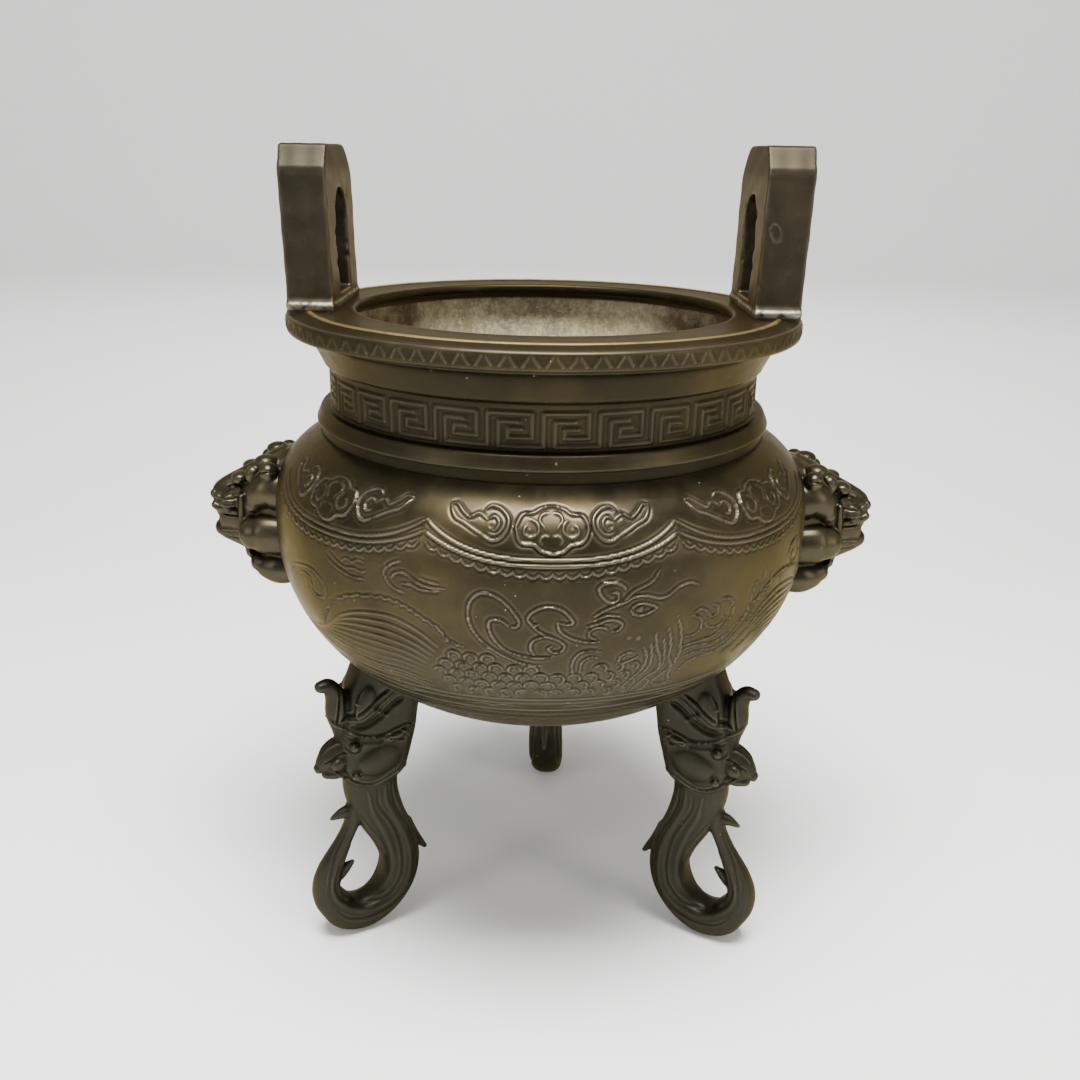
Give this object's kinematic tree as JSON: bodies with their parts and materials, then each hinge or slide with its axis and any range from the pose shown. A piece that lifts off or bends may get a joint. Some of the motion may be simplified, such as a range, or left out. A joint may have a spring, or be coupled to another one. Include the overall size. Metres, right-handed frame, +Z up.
{
  "type": "tripod incense burner",
  "caption": "Round hollow cast bronze censer on beast-headed curled legs, with upright loop handles, lion masks and raised fret, swag, cloud and dragon ornament.",
  "frame": {"origin": "on the ground under the bowl's axis", "axes": "+Z up along the bowl's axis; the front looks along -Y; the handles and lion masks are at +X and -X"},
  "size_m": [0.2474, 0.1959, 0.2911],
  "materials": {
    "dark_bronze": "cast bronze with a dark brown-black patina",
    "brown_bronze": "cast bronze with a warm brown patina"
  },
  "bodies": {
    "root": {"bowl": "dark_bronze", "handle_left": "brown_bronze", "handle_right": "brown_bronze", "mask_left": "dark_bronze", "mask_right": "dark_bronze", "leg_front_left": "dark_bronze", "leg_front_right": "dark_bronze", "leg_back": "dark_bronze"}
  },
  "joints": []
}
